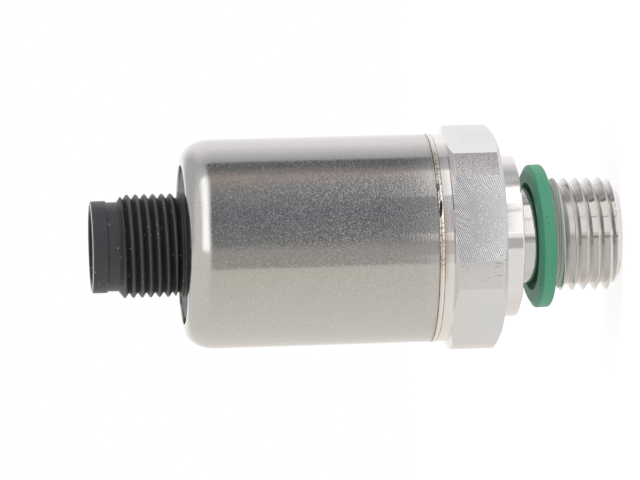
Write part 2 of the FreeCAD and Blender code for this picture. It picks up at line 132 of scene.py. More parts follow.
def angle(name, description, degrees):
    """An angle that a user can change, kept in radians."""
    return FloatProperty(
        name=name, description=description, default=math.radians(degrees), unit="ROTATION"
    )


class PortSettings(bpy.types.PropertyGroup):
    """Sizes of the turned and milled process port."""

    thread_radius: length("Thread radius", "Radius of the stud's thread over its crests", 6.5785)
    thread_root: length("Thread root", "Radius of the stud's thread in its grooves", 5.7225)
    thread_pitch: length("Thread pitch", "Distance from one crest to the next", 1.337)
    neck_radius: length("Neck radius", "Radius of the undercut neck above the thread", 5.55)
    neck_length: length("Neck length", "Length of the undercut neck", 4.1)
    bore_radius: length("Bore radius", "Radius of the pressure bore", 2.5)
    collar_radius: length("Collar radius", "Radius of the sealing collar", 9.35)
    collar_height: length("Collar height", "Height of the sealing collar", 2.3)
    spanner_width: length("Spanner width", "Distance across the hexagon's flats", 24.0)
    corner_radius: length("Corner radius", "Radius of the hexagon's turned corners", 13.0)
    hexagon_top: length("Hexagon top", "Height of the hexagon's upper end", 8.3)
    spigot_radius: length("Spigot radius", "Radius of the spigot under the weld", 12.05)
    steel: colour("Steel", "Colour of the turned steel", 0.80, 0.80, 0.81)


class ShellSettings(bpy.types.PropertyGroup):
    """Sizes and colour of the drawn housing and its weld."""

    radius: length("Shell radius", "Outer radius of the housing", 12.05)
    wall: length("Wall", "Thickness of the housing's sheet", 0.8)
    rim_radius: length("Rim radius", "Radius of the rolled rim", 2.85)
    rim_land: length("Rim land", "Flat left between the rolled rim and the opening", 0.03)
    bead_bulge: length("Bead bulge", "How far the weld bead stands out", 0.08)
    bead_ripples: IntProperty(
        name="Bead ripples", description="Overlapping spots round the weld bead",
        default=110, min=3
    )
    steel: colour("Steel", "Colour of the polished housing", 0.645, 0.645, 0.645)


class PlugSettings(bpy.types.PropertyGroup):
    """Sizes and colour of the moulded plug."""

    thread_radius: length("Thread radius", "Radius of the plug's thread over its crests", 5.97)
    thread_root: length("Thread root", "Radius of the plug's thread in its grooves", 5.36)
    thread_pitch: length("Thread pitch", "Distance from one crest to the next", 1.0)
    core_radius: length("Core radius", "Radius of the groove under the nose", 5.125)
    nose_radius: length("Nose radius", "Radius of the nose", 5.3)
    socket_radius: length("Socket radius", "Inner radius of the socket", 4.3)
    socket_depth: length("Socket depth", "Depth of the socket", 8.5)
    boss_radius: length("Boss radius", "Radius of the boss under the thread", 6.0)
    plastic: colour("Plastic", "Colour of the moulded plug", 0.014, 0.014, 0.0155)


class RingSettings(bpy.types.PropertyGroup):
    """Sizes and colour of the loose profile ring."""

    inner_radius: length("Inner radius", "Inner radius of the ring", 6.2)
    outer_radius: length("Outer radius", "Outer radius of the ring", 8.3)
    width: length("Width", "Width of the ring at its rim", 1.5)
    bevel_radius: length("Bevel radius", "Radius where the bevel starts", 7.6)
    bevel_height: length("Bevel height", "Height of the bevel", 0.3)
    drop: length("Drop", "How far below the collar's face the ring lies", 2.8)
    shift: length("Shift", "How far the ring hangs to the side", 0.13)
    tilt_side: angle("Side tilt", "Tilt of the ring about Y", -2.3)
    tilt_forward: angle("Forward tilt", "Tilt of the ring about X", 2.0)
    rubber: colour("Rubber", "Colour of the elastomer", 0.075, 0.32, 0.19)


class StageSettings(bpy.types.PropertyGroup):
    """Camera and light of the stage."""

    distance: length("Camera distance", "From the camera to the part's axis", 504.5)
    azimuth: angle("Azimuth", "Camera's angle round the part", -9.8)
    elevation: angle("Elevation", "Camera's angle above the horizon", 5.86)
    roll: angle("Roll", "Camera's turn about its own line of sight", 1.63)
    lens: FloatProperty(
        name="Lens", description="Focal length in millimetres", default=245.5, min=10.0
    )
    aim_height: length("Aim height", "Height on the axis that the camera aims at", 22.54)
    aim_shift: length("Aim shift", "How far beside the axis the camera aims", 0.104)
    floor_radius: length("Floor radius", "Radius of the floor", 200.0)
    screen_radius: length("Screen radius", "Radius of the screen round the part", 500.0)


GROUPS = {
    "port": PortSettings,
    "shell": ShellSettings,
    "plug": PlugSettings,
    "ring": RingSettings,
    "stage": StageSettings,
}


def settings(group):
    """One of the add-on's groups of settings."""
    return getattr(bpy.context.scene, f"transmitter_{group}")


# ---- node trees

class Wire:
    """A node socket that takes Python's operators and adds Math nodes for them."""

    def __init__(self, tree, socket):
        self.tree = tree
        self.socket = socket

    def maths(self, operation, *others, first=None):
        """Adds one Math node with this wire first, or second for a reflected operator."""
        inputs = [self, *others] if first is None else [first, self]
        return node(self.tree, "ShaderNodeMath", {"operation": operation},
                    dict(enumerate(inputs)))

    def __add__(self, other):
        return self.maths("ADD", other)

    __radd__ = __add__

    def __sub__(self, other):
        return self.maths("SUBTRACT", other)

    def __rsub__(self, other):
        return self.maths("SUBTRACT", first=other)

    def __mul__(self, other):
        return self.maths("MULTIPLY", other)

    __rmul__ = __mul__

    def __truediv__(self, other):
        return self.maths("DIVIDE", other)

    def __neg__(self):
        return self.maths("MULTIPLY", -1.0)

    def __pow__(self, power):
        return self.maths("POWER", power)

    def least(self, other):
        return self.maths("MINIMUM", other)

    def most(self, other):
        return self.maths("MAXIMUM", other)

    def soft_most(self, other, blend):
        return self.maths("SMOOTH_MAX", other, blend)

    def size(self):
        return self.maths("ABSOLUTE")

    def fraction(self):
        return self.maths("FRACT")

    def cosine(self):
        return self.maths("COSINE")

    def sine(self):
        return self.maths("SINE")

    def root(self):
        return self.maths("SQRT")

    def clamp(self, low, high):
        return self.most(low).least(high)

    def step(self, low, high):
        """0 below low, 1 above high and a smooth rise between them."""
        return node(self.tree, "ShaderNodeMapRange", {"interpolation_type": "SMOOTHSTEP"},
                    {"Value": self, "From Min": low, "From Max": high})

    def band(self, low, high, soft):
        """1 between low and high, falling to 0 over soft outside them."""
        return self.step(low - soft, low) * (1.0 - self.step(high, high + soft))


def node(tree, kind, options=None, values=None, output=0):
    """Adds a node: its settings first, then the values or links of its sockets."""
    made = tree.nodes.new(kind)
    for key, option in (options or {}).items():
        if key == "stops":
            set_stops(made.color_ramp, option)
        else:
            setattr(made, key, option)
    for key, given in (values or {}).items():
        socket = made.inputs[key]
        if isinstance(given, Wire):
            tree.links.new(given.socket, socket)
        else:
            socket.default_value = given
    return Wire(tree, made.outputs[output])


def set_stops(ramp, stops):
    """Fills a colour ramp from (place, colour) pairs."""
    while len(ramp.elements) > 1:
        ramp.elements.remove(ramp.elements[-1])
    for number, (place, tone) in enumerate(stops):
        element = ramp.elements[0] if number == 0 else ramp.elements.new(place)
        element.position = place
        element.color = (*tone, 1.0) if len(tone) == 3 else tone


def linear(*tone):
    """A colour from screen values, 0 to 255, as linear light."""
    return tuple(
        c / 255 / 12.92 if c / 255 <= 0.04045 else ((c / 255 + 0.055) / 1.055) ** 2.4
        for c in tone
    )


def mix(factor, first, second):
    """Mixes two colours by a factor."""
    tree = factor.tree
    made = tree.nodes.new("ShaderNodeMix")
    made.data_type = "RGBA"
    for socket, given in zip(
        (made.inputs[0], made.inputs[6], made.inputs[7]), (factor, first, second)
    ):
        if isinstance(given, Wire):
            tree.links.new(given.socket, socket)
        else:
            socket.default_value = given if socket.type == "VALUE" else (*given[:3], 1.0)
    return Wire(tree, made.outputs[2])


def object_point(tree):
    """The object's own x, y and z, each as a wire in millimetres."""
    place = node(tree, "ShaderNodeTexCoord", output=3)
    split = tree.nodes.new("ShaderNodeSeparateXYZ")
    tree.links.new(place.socket, split.inputs[0])
    return [Wire(tree, out) * 1000.0 for out in split.outputs]


def vector(x, y, z):
    """Three wires or numbers as one vector."""
    tree = next(w.tree for w in (x, y, z) if isinstance(w, Wire))
    return node(tree, "ShaderNodeCombineXYZ", None, {0: x, 1: y, 2: z})


def noise(place, scale, detail=2.0, roughness=0.5, seed=0.0):
    """Perlin noise from 0 to 1 at a place, repeatable by its seed."""
    return node(place.tree, "ShaderNodeTexNoise", {"noise_dimensions": "4D"}, {
        "Vector": place, "W": seed, "Scale": scale, "Detail": detail, "Roughness": roughness,
    })


def cells(place, scale):
    """Distance to the nearest of scattered points, as a share of their spacing."""
    return node(place.tree, "ShaderNodeTexVoronoi", None, {"Vector": place, "Scale": scale})


def bump(height, strength, distance, under=None):
    """A surface bumped by a height in millimetres."""
    values = {"Height": height, "Strength": strength, "Distance": distance * MM}
    if under is not None:
        values["Normal"] = under
    return node(height.tree, "ShaderNodeBump", None, values)


def bumps(*layers):
    """Bumps on top of each other, from (height, strength, distance) triples."""
    normal = None
    for layer in layers:
        normal = bump(*layer, normal)
    return normal


def layers(tone, *over):
    """A colour with others laid over it in turn, from (share, colour) pairs."""
    for share, next_tone in over:
        tone = mix(share, tone, next_tone)
    return tone


def surface(name, build, **fixed):
    """A material: fixed numbers go on the shader's own sockets, build adds the rest."""
    made = bpy.data.materials.new(name)
    made.use_nodes = True
    tree = made.node_tree
    shader = next(n for n in tree.nodes if n.type == "BSDF_PRINCIPLED")
    for key, given in fixed.items():
        shader.inputs[key.replace("_", " ")].default_value = given
    for key, given in (build(tree) or {}).items():
        if isinstance(given, Wire):
            tree.links.new(given.socket, shader.inputs[key])
        elif key == "Base Color":
            shader.inputs[key].default_value = (*given[:3], 1.0)
        else:
            shader.inputs[key].default_value = given
    return made


# ---- finishes

def fine_lines(x, y, z, along, across, seed, detail=3.0, roughness=0.6):
    """Noise drawn out round the axis: along is its length in mm, across its width."""
    return noise(vector(x / along, y / along, z / across), 1.0, detail, roughness, seed)


def turn_round(x, y, start):
    """Degrees round the axis, counted from the given start."""
    turn = node(x.tree, "ShaderNodeMath", {"operation": "ARCTAN2"}, {0: x, 1: -y})
    return turn * (180.0 / math.pi) - start


def spot(across, middle, reach, up, height, rise, soft=0.4):
    """1 inside an oval on two coordinates and 0 outside it."""
    far = ((across - middle) / reach) ** 2.0 + ((up - height) / rise) ** 2.0
    return 1.0 - far.step(1.0 - soft, 1.0)


def polished_shell():
    """Drawn and polished steel with fine lines, bright nicks, a heat stain at the weld and painted
    shade of a slot just above it.
    """
    base = settings("shell").steel

    def build(tree):
        x, y, z = object_point(tree)
        place = vector(x, y, z)
        lines = fine_lines(x, y, z, 4.0, 0.10, 3.0)
        grain = noise(place, 5.0, 3.0, 0.7, 4.0)
        waves = fine_lines(x, y, z, 9.0, 14.0, 5.0, 1.0, 0.5)
        flecks = noise(vector(x, y, z * 1.2), 9.5, 1.0, 0.5, 21.0).step(0.50, 0.60)
        nicks = fine_lines(x, y, z, 0.35, 0.09, 22.0).step(0.70, 0.74)
        # Heat stain and dark line just above the weld, and a near-black mark there that is painted
        # shade of a slot.
        stain = noise(vector(x / 2.0, y / 2.0, z), 1.0, 3.0, 0.6, 23.0)
        edge = 1.0 - (z + stain * 0.9).step(SHELL_FOOT + 0.45, SHELL_FOOT + 1.0)
        line = 1.0 - (z + stain * 0.2).step(SHELL_FOOT + 0.12, SHELL_FOOT + 0.26)
        ragged = noise(place, 2.6, 3.0, 0.6, 24.0)
        turn = turn_round(x, y, WORN_SIDE) + (ragged - 0.5) * 14.0
        # Painted shade: a near-black patch where the slot's shadow falls.
        slot_shade = spot(turn, 28.4, 3.4, z + ragged * 1.6, SHELL_FOOT + 0.72, 0.50)
        slot_shade = slot_shade * stain.step(0.40, 0.52)
        return {
            "Base Color": layers(
                [c * 0.97 for c in base],
                (flecks * 0.30 + nicks * 0.5, (0.90, 0.89, 0.88)),
                (edge * 0.30, (0.42, 0.34, 0.25)),
                (line * stain.step(0.35, 0.6) * 0.8, (0.16, 0.12, 0.07)),
                (slot_shade * 0.85, (0.05, 0.045, 0.035)),
            ),
            "Roughness": 0.03 + flecks * (z.step(12.0, 22.0) * 0.14 + 0.08)
            + nicks * 0.25 + edge * 0.06,
            "Normal": bumps(
                (lines, 0.5, 0.0035), (grain, 0.5, 0.007), (waves, 0.5, 0.14), (nicks, 0.5, 0.02)
            ),
        }

    return surface("polished_shell_steel", build, Metallic=1.0)


def turned_steel():
    """Steel left by the lathe, with concentric tool lines, a straw tint by the weld and painted
    reflection by height: a darker neck and thread, a lighter collar and spigot.
    """
    base = settings("port").steel

    def build(tree):
        x, y, z = object_point(tree)
        turn = turn_round(x, y, WORN_SIDE)
        radius = (x * x + y * y).root()
        # Zones, from the tip of the stud upwards.
        thread = 1.0 - z.step(-4.2, -4.1)
        runout = z.band(-6.6, -4.0, 0.3)
        start = z.band(-5.0, -4.0, 0.1)
        neck = z.band(-4.0, -0.1, 0.1)
        collar = z.band(-0.2, 2.2, 0.1)
        foot = z.band(2.31, 2.86, 0.03) * radius.step(11.6, 11.8)
        land = z.band(2.95, 7.9, 0.05) * radius.step(12.5, 12.6)
        upper = land * turn.band(20.0, 60.0, 3.0)
        spigot = z.step(8.4, 8.6)
        dull = foot.most(start)
        calm = 1.0 - (z.band(-0.2, 2.9, 0.1) + z.step(8.3, 8.5)) * 0.85
        tint = z.band(9.2, 9.5, 0.08) * turn.band(-20.0, 12.0, 8.0)
        # Marks of the tool and of handling. The tool's lines run round walls and end faces alike.
        turned = z + radius * 0.7
        grooves = fine_lines(x, y, turned, 9.0, 0.10, 11.0, 2.0, 0.5)
        broad = fine_lines(x, y, turned, 12.0, 0.5, 12.0, 2.0, 0.5)
        speck = noise(vector(x, y, z), 6.0, 2.0, 0.6, 14.0)
        stain = fine_lines(x, y, z, 2.5, 2.0, 13.0, 4.0).step(0.55, 0.75)
        streaks = noise(vector(0.0, 0.0, z / 0.12), 1.0, 2.0, 0.5, 16.0).step(0.45, 0.6)
        dashes = noise(vector(turn * 1.1, z * 0.45, 3.0), 1.0, 3.0, 0.6, 15.0).step(0.60, 0.68)
        dashes = dashes * land * turn.band(-29.0, -12.0, 1.0)
        return {
            "Base Color": layers(
                base,
                (stain * 0.12, (0.50, 0.46, 0.42)),
                (land * 0.8, (0.74, 0.73, 0.75)),
                # Painted reflection by height: the neck and thread are darkened, the spigot and
                # collar lightened.
                (neck * 0.5, (0.52, 0.52, 0.50)),
                (thread * 0.35, (0.58, 0.55, 0.51)),
                (upper * speck.step(0.46, 0.56) * 0.3, (0.42, 0.39, 0.37)),
                (spigot * 0.6, (0.94, 0.92, 0.91)),
                (collar * 0.5, (0.86, 0.85, 0.85)),
                (tint * 0.35, (0.72, 0.52, 0.28)),
                (dull, (0.80, 0.78, 0.77)),
                ((dashes * 0.8).most(start * streaks * 0.5), (0.12, 0.11, 0.10)),
            ),
            "Roughness": 0.045 + grooves * 0.03 + land * 0.16 + dull * 0.4 + runout * 0.14,
            "Metallic": 1.0 - dull * 0.7,
            "Normal": bumps(
                (grooves * calm, 0.35, 0.003), (broad * calm, 0.30, 0.006),
                (speck, upper * 0.9, 0.08)
            ),
        }

    return surface("turned_steel", build)


def milled_steel():
    """The hexagon's flats, crossed by the fine arcs that the cutter leaves, with their top facet
    lightened as painted reflection.
    """
    base = settings("port").steel
    flat = settings("port").spanner_width / MM / 2

    def build(tree):
        x, y, z = object_point(tree)
        turn = node(tree, "ShaderNodeMath", {"operation": "ARCTAN2"}, {0: y, 1: x})
        across = (turn * (3.0 / math.pi)).fraction() - 0.5
        along = across * (math.pi / 3.0 * flat)
        rough = noise(vector(x, y, z), 1.3, 3.0, 0.6, 31.0)
        # Two sets of arcs, about 0.19 and 0.20 mm apart, round centres beside the flat.
        first = ((along - 9.0) ** 2.0 + (z - 16.0) ** 2.0).root()
        second = ((along + 9.0) ** 2.0 + (z + 7.0) ** 2.0).root()
        arcs = (first * 33.0).sine() + (second * 31.0).sine()
        edges = across.size().step(0.10, 0.30).most(z.band(6.9, 8.2, 0.7))
        # Painted reflection: the top facet is lightened to match the spigot's painted tone.
        facet = z.step(8.25, 8.32)
        # Scratches on the lower part of the one worn flat.
        front = turn_round(x, y, WORN_SIDE).band(-12.9, 32.5, 0.3) * (1.0 - facet)
        rising = noise(vector((along + z) / 0.9, (along - z) / 0.10, 2.0), 1.0, 2.0, 0.6, 33.0)
        falling = noise(vector((along - z) / 0.7, (along + z) / 0.09, 6.0), 1.0, 2.0, 0.6, 34.0)
        worn = (1.0 - z.step(5.4, 6.8)) * rough.step(0.36, 0.50) * front
        scratches = rising.step(0.62, 0.67).most(falling.step(0.63, 0.68)) * worn
        return {
            "Base Color": layers(
                [c * share for c, share in zip(base, (0.95, 0.97, 0.985))],
                ((arcs * 0.25 + 0.5) * edges * 0.3, (0.92, 0.92, 0.92)),
                (facet, (0.90, 0.86, 0.85)),
                (scratches * 0.8, (1.0, 1.0, 1.0)),
            ),
            "Roughness": 0.10 + rough * 0.04 - facet * 0.04,
            "Normal": bumps(
                (arcs * edges * (1.0 - facet), 0.5, 0.0009), (scratches, 0.5, 0.02)
            ),
        }

    return surface("milled_steel", build, Metallic=1.0)


def welded_steel():
    """The weld bead: pale fused metal, dark at its edges, with painted shade of one pit and of the
    slot beside it.
    """

    def build(tree):
        x, y, z = object_point(tree)
        rough = noise(vector(x, y, z), 2.2, 3.0, 0.6, 41.0)
        turn = turn_round(x, y, WORN_SIDE)
        level = (z - BEAD_FOOT) / (SHELL_FOOT - BEAD_FOOT)
        ragged = level + rough * 0.16
        edges = 1.0 - ragged.step(0.10, 0.20) * (1.0 - ragged.step(0.94, 1.04))
        # Painted shade: the pit and the slot's end are near-black, though the mesh has no hollow
        # there.
        pit = spot(turn, 15.5, 5.6, level + turn * 0.035, 1.10, 0.36)
        slot_shade = spot(turn + rough * 5.0, 31.0, 2.6, level, 0.9, 0.5) * rough.step(0.42, 0.5)
        lumps = noise(vector(x, y, z), 3.5, 2.0, 0.6, 42.0).step(0.48, 0.56)
        lumps = lumps * turn.band(-14.0, 52.0, 6.0)
        return {
            "Base Color": layers(
                (0.84, 0.82, 0.76),
                (rough, (0.93, 0.92, 0.90)),
                (lumps * 0.65, (0.26, 0.25, 0.23)),
                (edges * 0.75, (0.22, 0.18, 0.12)),
                # Painted shade of the pit and the slot.
                (pit.most(slot_shade * 0.8), (0.012, 0.012, 0.012)),
            ),
            "Roughness": 0.24 + rough * 0.1 + pit * 0.4,
            "Metallic": 1.0 - pit,
            "Normal": bump(rough, 0.4, 0.03),
        }

    return surface("welded_steel", build)


def plug_plastic():
    """Black moulded plastic with a soft sheen, rub lines and dust, and painted light: a paler nose
    as painted sheen, paler crests and a bright lip as painted highlights.
    """
    base = settings("plug").plastic

    def build(tree):
        x, y, z = object_point(tree)
        place = vector(x, y, z)
        radius = (x * x + y * y).root()
        grain = noise(place, 6.0, 3.0, 0.6, 51.0)
        rub = fine_lines(x, y, z, 1.5, 0.5, 52.0).step(0.3, 0.8)
        # Painted sheen: the smooth nose is paler than the thread.
        nose = z.step(NOSE_TOP - 3.6, NOSE_TOP - 3.1)
        # Painted highlight: paler thread crests, where the light catches them.
        crests = z.band(NOSE_TOP - 9.9, NOSE_TOP - 3.2, 0.1) * radius.step(5.62, 5.92)
        # Painted highlight: a pale band round the nose's top edge.
        lip_highlight = z.step(NOSE_TOP - 0.10, NOSE_TOP - 0.04) * radius.step(4.85, 4.95)
        dust = 1.0 - cells(place, 1.3).step(0.05, 0.09)
        return {
            "Base Color": layers(
                base,
                # The paler nose is painted sheen; the rub lines are wear.
                (nose * 0.8 + rub * 0.2, (0.045, 0.045, 0.052)),
                (crests * 0.7, (0.075, 0.075, 0.08)),
                (lip_highlight * 0.9, (0.75, 0.75, 0.74)),
                (dust, (0.62, 0.62, 0.60)),
            ),
            "Roughness": 0.34 + grain * 0.16,
            "Normal": bump(grain, 0.2, 0.01),
        }

    return surface("plug_plastic", build, Metallic=0.0)


def ring_rubber():
    """Green elastomer with fine lines round its rim, dark specks and painted shade on the face
    towards the collar.
    """
    base = settings("ring").rubber

    def build(tree):
        x, y, z = object_point(tree)
        r = settings("ring")
        level = z + r.drop / MM - (x + r.shift / MM) * math.tan(-r.tilt_side)
        level = level - y * math.tan(r.tilt_forward)
        # Painted shade: the face towards the collar is darkened where the hexagon shades it.
        face = level.step(r.width / MM / 2 - 0.12, r.width / MM / 2 + 0.02)
        lines = fine_lines(x, y, level, 4.0, 0.10, 61.0)
        specks = 1.0 - cells(vector(x, y, z), 0.8).step(0.05, 0.10)
        scuffs = fine_lines(x, y, level, 0.8, 0.06, 62.0, 2.0, 0.5).step(0.68, 0.74)
        return {
            "Base Color": layers(
                [c * 0.80 for c in base],
                (lines, [min(1.0, c * 1.2) for c in base]),
                (scuffs * 0.35, (0.30, 0.52, 0.40)),
                # Painted shade on the face towards the collar.
                (face * 0.28, (0.055, 0.12, 0.085)),
                (specks * 0.7, (0.02, 0.05, 0.035)),
            ),
            "Roughness": 0.40 + lines * 0.12,
            "Normal": bump(lines, 0.3, 0.01),
        }

    return surface("ring_rubber", build, Metallic=0.0)


def plain(name, tone, second, scale, rough, metallic):
    """A finish with a fine mottle, for the pieces inside."""

    def build(tree):
        x, y, z = object_point(tree)
        mottle = noise(vector(x, y, z), scale, 3.0, 0.6, 71.0)
        return {
            "Base Color": mix(mottle, tone, second),
            "Roughness": rough + mottle * 0.1,
            "Normal": bump(mottle, 0.15, 0.01),
        }

    return surface(name, build, Metallic=metallic)


def board_laminate():
    """Green solder mask with faint tracks under it and tinned pads."""

    def build(tree):
        x, y, z = object_point(tree)
        tracks = ((x * 2.2).sine() * (z * 1.7).cosine()).size().step(0.86, 0.93)
        pads = 1.0 - cells(vector(x, y, z), 0.55).step(0.16, 0.19)
        return {
            "Base Color": layers(
                (0.012, 0.10, 0.04), (tracks, (0.02, 0.17, 0.07)), (pads, (0.6, 0.6, 0.57))
            ),
            "Roughness": 0.35 + pads * 0.1,
            "Metallic": pads,
            "Normal": bump(tracks, 0.2, 0.02),
        }

    return surface("board_laminate", build)


# ---- meshes

def arc(radius, height, bend, start, end, count):
    """Points of an arc in an outline, as (radius, height) pairs, angles in degrees."""
    points = []
    for number in range(count + 1):
        turn = math.radians(start + (end - start) * number / count)
        points.append((radius + bend * math.cos(turn), height + bend * math.sin(turn)))
    return points


def soft_roll(radius, top, across, down, fullness, count):
    """Points of a rolled edge, rising gently from the wall: a quarter of a fuller ellipse."""
    points = []
    for number in range(count + 1):
        turn = math.pi / 2 * number / count
        out = math.cos(turn) ** (2 / fullness) if number < count else 0.0
        rise = math.sin(turn) ** (2 / fullness)
        points.append((radius + across * out, top - down + down * rise))
    return points


def turn_outline(mesh, outline, closed):
    """Turns an outline of (radius, height) pairs in millimetres about Z, into a bmesh."""
    rings = []
    for radius, height in outline:
        count = STEPS if radius > 1e-6 else 1
        rings.append([
            mesh.verts.new((
                radius * MM * math.cos(math.tau * number / STEPS),
                radius * MM * math.sin(math.tau * number / STEPS),
                height * MM,
            ))
            for number in range(count)
        ])
    for low, high in zip(rings, rings[1:] + rings[:1] if closed else rings[1:]):
        for number in range(STEPS):
            after = (number + 1) % STEPS
            corners = [low[number % len(low)], low[after % len(low)],
                       high[after % len(high)], high[number % len(high)]]
            corners = list(dict.fromkeys(corners))
            if len(corners) > 2:
                mesh.faces.new(corners)


def finish_mesh(mesh, name, *materials):
    """Merges doubles, turns faces outwards and makes the object, at the origin."""
    bmesh.ops.remove_doubles(mesh, verts=mesh.verts, dist=1e-7)
    bmesh.ops.dissolve_degenerate(mesh, edges=mesh.edges, dist=1e-7)
    bmesh.ops.recalc_face_normals(mesh, faces=mesh.faces)
    data = bpy.data.meshes.new(name)
    mesh.to_mesh(data)
    mesh.free()
    made = bpy.data.objects.new(name, data)
    bpy.context.scene.collection.objects.link(made)
    for material in materials:
        data.materials.append(material)
    shade(data)
    return made


def shade(data):
    """Smooth shading, with sharp edges kept."""
    data.shade_smooth()
    data.set_sharp_from_angle(angle=SHARP)


def baked(made):
    """Replaces an object's mesh by its evaluated one and removes the modifiers."""
    bpy.context.view_layer.update()
    graph = bpy.context.evaluated_depsgraph_get()
    data = bpy.data.meshes.new_from_object(made.evaluated_get(graph))
    old = made.data
    made.modifiers.clear()
    made.data = data
    data.name = made.name
    bpy.data.meshes.remove(old)
    return made


def boolean(made, cutter, operation):
    """Cuts or joins a second object and removes it."""
    step = made.modifiers.new("boolean", "BOOLEAN")
    step.object = cutter
    step.operation = operation
    step.solver = "EXACT"
    baked(made)
    remove(cutter)


def blocks(name, boxes):
    """An object of separate boxes, each given as a centre, three sizes and a turn about Z."""
    mesh = bmesh.new()
    for centre, sizes, turn in boxes:
        place = Matrix.Rotation(turn, 4, "Z") @ Matrix.Translation(Vector(centre) * MM)
        place = place @ Matrix.Diagonal((*[s * MM for s in sizes], 1.0))
        bmesh.ops.create_cube(mesh, size=1.0, matrix=place)
    return finish_mesh(mesh, name)


# ---- geometry nodes

def new_tree(name, **inputs):
    """A Geometry Nodes group and its input wires; an input with no default is a material."""
    kinds = {float: "NodeSocketFloat", int: "NodeSocketInt", type(None): "NodeSocketMaterial"}
    tree = bpy.data.node_groups.new(name, "GeometryNodeTree")
    tree.interface.new_socket("Geometry", in_out="OUTPUT", socket_type="NodeSocketGeometry")
    for key, default in inputs.items():
        socket = tree.interface.new_socket(
            key.replace("_", " "), in_out="INPUT", socket_type=kinds[type(default)])
        if default is not None:
            socket.default_value = default
    given = tree.nodes.new("NodeGroupInput")
    return tree, {s.name: Wire(tree, s) for s in given.outputs if s.name}


def end_tree(tree, geometry, material):
    """Ends a tree in Realize Instances, Set Material and the group's output."""
    real = node(tree, "GeometryNodeRealizeInstances", None, {"Geometry": geometry})
    dressed = node(tree, "GeometryNodeSetMaterial", None, {"Geometry": real, "Material": material})
    out = tree.nodes.new("NodeGroupOutput")
    tree.links.new(dressed.socket, out.inputs[0])


def ring_grid(tree, around, rows):
    """A grid for wrapping round the axis, with its turn and row as numbers from 0."""
    grid = node(tree, "GeometryNodeMeshGrid", None, {
        "Size X": 1.0, "Size Y": 1.0, "Vertices X": around + 1.0, "Vertices Y": rows,
    })
    place = node(tree, "GeometryNodeInputPosition")
    split = tree.nodes.new("ShaderNodeSeparateXYZ")
    tree.links.new(place.socket, split.inputs[0])
    turn = Wire(tree, split.outputs[0]) + 0.5
    row = ((Wire(tree, split.outputs[1]) + 0.5) * (rows - 1.0)).maths("ROUND")
    return grid, turn, row


def wrapped(tree, grid, turn, radius, height):
    """Moves a grid's points to a radius, a turn round Z and a height, and merges the seam."""
    angle = turn * math.tau
    place = vector(radius * angle.cosine(), radius * angle.sine(), height)
    moved = node(tree, "GeometryNodeSetPosition", None, {"Geometry": grid, "Position": place})
    return node(tree, "GeometryNodeMergeByDistance", None, {"Geometry": moved, "Distance": 1e-7})


def thread_tree():
    """A right-hand thread on a cylinder, chamfered at both ends down to given radii."""
    tree, given = new_tree(
        "screw_thread", Crest=0.006, Root=0.005, Pitch=0.001, Bottom=0.0, Top=0.01,
        Bottom_Radius=0.005, Top_Radius=0.005, Bottom_Slope=1.0, Top_Slope=1.0,
        Crest_Flat=0.1, Root_Flat=0.1, Rounding=0.1, Phase=0.0, Around=STEPS,
        Rows_per_Turn=20, Material=None,
    )
    top, bottom, pitch = given["Top"], given["Bottom"], given["Pitch"]
    turns = ((top - bottom) / pitch + 2.0).maths("CEIL")
    rows = turns * given["Rows per Turn"] + 1.0
    grid, turn, row = ring_grid(tree, given["Around"], rows)
    level = row / given["Rows per Turn"]
    height = (bottom + (level - 1.0 + turn) * pitch).clamp(bottom, top)
    wave = ((level + given["Phase"]).fraction() * 2.0 - 1.0).size()
    slope = (wave - given["Crest Flat"]) / (1.0 - given["Crest Flat"] - given["Root Flat"])
    fall = 1.0 - (1.0 - slope.soft_most(0.0, given["Rounding"])).soft_most(0.0, given["Rounding"])
    radius = given["Crest"] - (given["Crest"] - given["Root"]) * fall.clamp(0.0, 1.0)
    radius = radius.least(given["Bottom Radius"] + (height - bottom) * given["Bottom Slope"])
    radius = radius.least(given["Top Radius"] + (top - height) * given["Top Slope"])
    end_tree(tree, wrapped(tree, grid, turn, radius, height), given["Material"])
    return tree


def bead_tree():
    """A weld bead round the axis, of overlapping spots with uneven height."""
    tree, given = new_tree(
        "weld_bead", Radius=0.012, Bulge=0.0001, Bottom=0.0, Top=0.0005, Ripples=110,
        Unevenness=0.35, Seed=4.0, Around=STEPS * 4, Rows=13, Material=None,
    )
    top, bottom = given["Top"], given["Bottom"]
    rows = given["Rows"] + 0.0
    grid, turn, row = ring_grid(tree, given["Around"], rows)
    level = row / (rows - 1.0)
    height = bottom + (top - bottom) * level
    crown = (level * math.pi).sine().most(0.0)
    lean = (level - 0.5) ** 2.0
    spots = ((turn * given["Ripples"] + lean * 1.5).fraction() * 2.0 - 1.0).size()
    angle = turn * math.tau
    around = vector(angle.cosine() * 6.0, angle.sine() * 6.0, level)
    uneven = noise(around, 1.0, 2.0, 0.5, given["Seed"])
    lift = crown * (1.0 - given["Unevenness"] * (spots * 0.5 + uneven))
    radius = given["Radius"] + given["Bulge"] * lift
    end_tree(tree, wrapped(tree, grid, turn, radius, height), given["Material"])
    return tree


def grown(name, tree, **inputs):
    """A plain mesh that a Geometry Nodes tree makes from its named inputs."""
    made = bpy.data.objects.new(name, bpy.data.meshes.new(name))
    bpy.context.scene.collection.objects.link(made)
    step = made.modifiers.new("grown", "NODES")
    step.node_group = tree
    wanted = {key.replace("_", " "): given for key, given in inputs.items()}
    for socket in tree.interface.items_tree:
        if socket.in_out == "INPUT" and socket.name in wanted:
            step[socket.identifier] = wanted.pop(socket.name)
    if wanted:
        raise ValueError(f"{name}: no input named {sorted(wanted)}")
    return baked(made)


def add_mesh(mesh, made):
    """Puts an object's mesh into a bmesh and removes the object."""
    mesh.from_mesh(made.data)
    remove(made)


